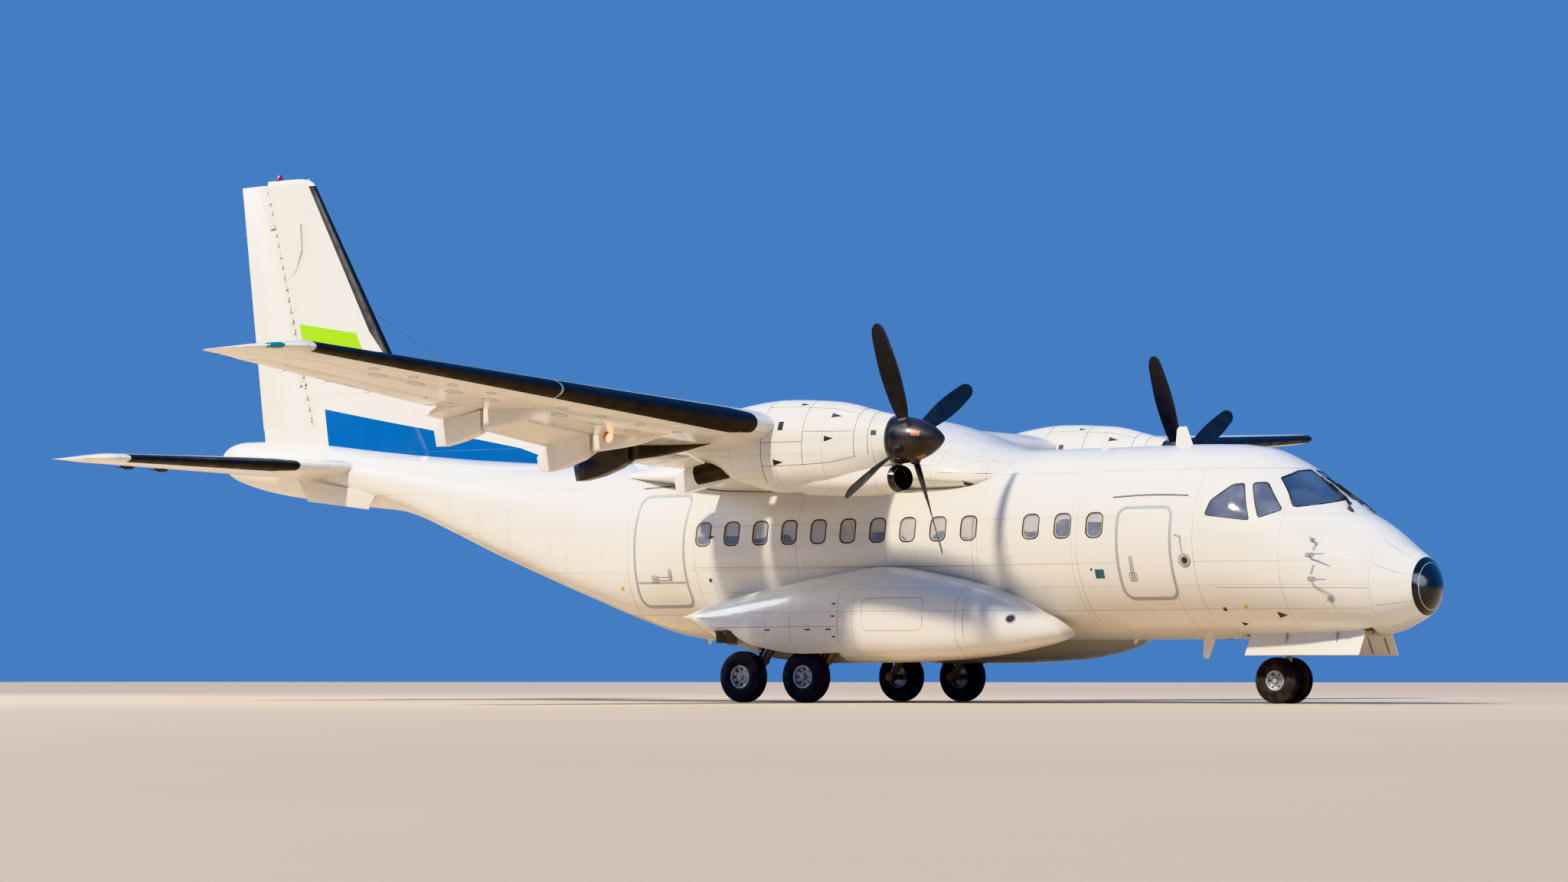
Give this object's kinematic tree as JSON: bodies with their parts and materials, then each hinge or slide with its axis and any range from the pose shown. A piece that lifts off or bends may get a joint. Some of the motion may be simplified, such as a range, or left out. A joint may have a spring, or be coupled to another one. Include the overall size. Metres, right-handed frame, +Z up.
{
  "type": "turboprop airliner",
  "caption": "High-wing transport aircraft with wing-mounted propeller engines, side sponsons for the main wheels, a nose gear and a rear cargo ramp under the tail.",
  "frame": {"origin": "on the ground, on the centreline, at mid-length between nose tip and tail tip", "axes": "+X forward to the nose, +Y to port, +Z up"},
  "size_m": [21.4, 25.81, 8.18],
  "materials": {
    "white_paint": "glossy cream-white paint",
    "black_paint": "satin black erosion paint",
    "cockpit_glass": "dark glossy glass",
    "bare_metal": "machined",
    "spinner_brown": "worn dark brown paint",
    "gear_grey": "satin grey paint",
    "tyre": "matt rubber with a light hub"
  },
  "bodies": {
    "root": {"radome_tip": "black_paint", "intake_lip_left": "black_paint", "intake_lip_right": "black_paint", "radome": "white_paint", "fuselage": "white_paint", "aft_fuselage": "white_paint", "tail_cone": "white_paint", "door_front_left": "white_paint", "door_front_right": "white_paint", "door_rear_left": "white_paint", "door_rear_right": "white_paint", "wing_fairing": "white_paint", "wing_center": "white_paint", "wing_left": "white_paint", "wing_right": "white_paint", "nacelle_left": "white_paint", "nacelle_right": "white_paint", "fin": "white_paint", "tailplane_left": "white_paint", "tailplane_right": "white_paint", "strake_left": "white_paint", "strake_right": "white_paint", "sponson_left": "white_paint", "sponson_right": "white_paint", "nose_door_left": "white_paint", "nose_door_right": "white_paint", "windscreen_left": "cockpit_glass", "windscreen_right": "cockpit_glass", "side_pane_front_left": "cockpit_glass", "side_pane_front_right": "cockpit_glass", "side_pane_rear_left": "cockpit_glass", "side_pane_rear_right": "cockpit_glass", "engine_left": "bare_metal", "engine_right": "bare_metal", "main_gear_left": "gear_grey", "main_gear_right": "gear_grey", "nose_leg": "gear_grey"},
    "propeller_left": {"propeller_left": "black_paint", "spinner_left": "spinner_brown"},
    "main_wheel_front_left": {"main_wheel_front_left": "tyre"},
    "main_wheel_rear_left": {"main_wheel_rear_left": "tyre"},
    "flap_inner_left": {"flap_inner_left": "white_paint"},
    "flap_outer_left": {"flap_outer_left": "white_paint"},
    "aileron_left": {"aileron_left": "white_paint"},
    "elevator_left": {"elevator_left": "white_paint"},
    "propeller_right": {"propeller_right": "black_paint", "spinner_right": "spinner_brown"},
    "main_wheel_front_right": {"main_wheel_front_right": "tyre"},
    "main_wheel_rear_right": {"main_wheel_rear_right": "tyre"},
    "flap_inner_right": {"flap_inner_right": "white_paint"},
    "flap_outer_right": {"flap_outer_right": "white_paint"},
    "aileron_right": {"aileron_right": "white_paint"},
    "elevator_right": {"elevator_right": "white_paint"},
    "nose_fork": {"nose_fork": "gear_grey"},
    "nose_wheels": {"nose_wheels": "tyre"},
    "rudder": {"rudder": "white_paint"},
    "cargo_ramp": {"cargo_ramp": "white_paint"},
    "upper_cargo_door": {"upper_cargo_door": "white_paint"}
  },
  "joints": [
    {"name": "propeller_spin_left", "type": "hinge", "parent": "root", "child": "propeller_left", "pos_m": [4.775, 3.5, 3.46], "axis": [1, 0, 0], "continuous": true},
    {"name": "main_wheel_front_spin_left", "type": "hinge", "parent": "root", "child": "main_wheel_front_left", "pos_m": [2.035, 1.955, 0.355], "axis": [0, 1, 0], "continuous": true},
    {"name": "main_wheel_rear_spin_left", "type": "hinge", "parent": "root", "child": "main_wheel_rear_left", "pos_m": [0.965, 1.955, 0.355], "axis": [0, 1, 0], "continuous": true},
    {"name": "flap_inner_hinge_left", "type": "hinge", "parent": "root", "child": "flap_inner_left", "pos_m": [0.775, 1.95, 3.26], "axis": [0, 1, 0], "range_deg": [-13, 12]},
    {"name": "flap_outer_hinge_left", "type": "hinge", "parent": "root", "child": "flap_outer_left", "pos_m": [0.81562, 4.25, 3.3125], "axis": [0.0539, 0.9961, 0.0697], "range_deg": [-13, 12]},
    {"name": "aileron_hinge_left", "type": "hinge", "parent": "root", "child": "aileron_left", "pos_m": [0.98558, 8.33, 3.91161], "axis": [0.0588, 0.9952, 0.0781], "range_deg": [-20, 20]},
    {"name": "elevator_hinge_left", "type": "hinge", "parent": "root", "child": "elevator_left", "pos_m": [-8.76, 1.2, 3.55], "axis": [-0.0471, 0.9989, 0], "range_deg": [-20, 25]},
    {"name": "propeller_spin_right", "type": "hinge", "parent": "root", "child": "propeller_right", "pos_m": [4.775, -3.5, 3.46], "axis": [1, 0, 0], "continuous": true},
    {"name": "main_wheel_front_spin_right", "type": "hinge", "parent": "root", "child": "main_wheel_front_right", "pos_m": [2.035, -1.955, 0.355], "axis": [0, 1, 0], "continuous": true},
    {"name": "main_wheel_rear_spin_right", "type": "hinge", "parent": "root", "child": "main_wheel_rear_right", "pos_m": [0.965, -1.955, 0.355], "axis": [0, 1, 0], "continuous": true},
    {"name": "flap_inner_hinge_right", "type": "hinge", "parent": "root", "child": "flap_inner_right", "pos_m": [0.775, -1.95, 3.26], "axis": [0, 1, 0], "range_deg": [-13, 12]},
    {"name": "flap_outer_hinge_right", "type": "hinge", "parent": "root", "child": "flap_outer_right", "pos_m": [0.81562, -4.25, 3.3125], "axis": [-0.0539, 0.9961, -0.0697], "range_deg": [-13, 12]},
    {"name": "aileron_hinge_right", "type": "hinge", "parent": "root", "child": "aileron_right", "pos_m": [0.98558, -8.33, 3.91161], "axis": [-0.0588, 0.9952, -0.0781], "range_deg": [-20, 20]},
    {"name": "elevator_hinge_right", "type": "hinge", "parent": "root", "child": "elevator_right", "pos_m": [-8.76, -1.2, 3.55], "axis": [0.0471, 0.9989, 0], "range_deg": [-20, 25]},
    {"name": "rudder_hinge", "type": "hinge", "parent": "root", "child": "rudder", "pos_m": [-8.81, 0, 4.31], "axis": [-0.2607, 0, 0.9654], "range_deg": [-25, 25]},
    {"name": "nose_steering", "type": "hinge", "parent": "root", "child": "nose_fork", "pos_m": [8.5, 0, 0.64], "axis": [0, 0, 1], "range_deg": [-48, 48]},
    {"name": "nose_wheels_spin", "type": "hinge", "parent": "nose_fork", "child": "nose_wheels", "pos_m": [8.42, 0, 0.305], "axis": [0, 1, 0], "continuous": true},
    {"name": "cargo_ramp_hinge", "type": "hinge", "parent": "root", "child": "cargo_ramp", "pos_m": [-1.562, 0, 1.07], "axis": [0, 1, 0], "range_deg": [-38, 0]},
    {"name": "upper_door_hinge", "type": "hinge", "parent": "root", "child": "upper_cargo_door", "pos_m": [-6.635, 0, 3.035], "axis": [0, 1, 0], "range_deg": [-22, 0]}
  ],
  "couplings": [
    {"joint": "flap_inner_hinge_right", "follows": "flap_inner_hinge_left", "ratio": 1},
    {"joint": "flap_outer_hinge_left", "follows": "flap_inner_hinge_left", "ratio": 1},
    {"joint": "flap_outer_hinge_right", "follows": "flap_inner_hinge_left", "ratio": 1},
    {"joint": "aileron_hinge_right", "follows": "aileron_hinge_left", "ratio": -1},
    {"joint": "elevator_hinge_right", "follows": "elevator_hinge_left", "ratio": 1}
  ]
}
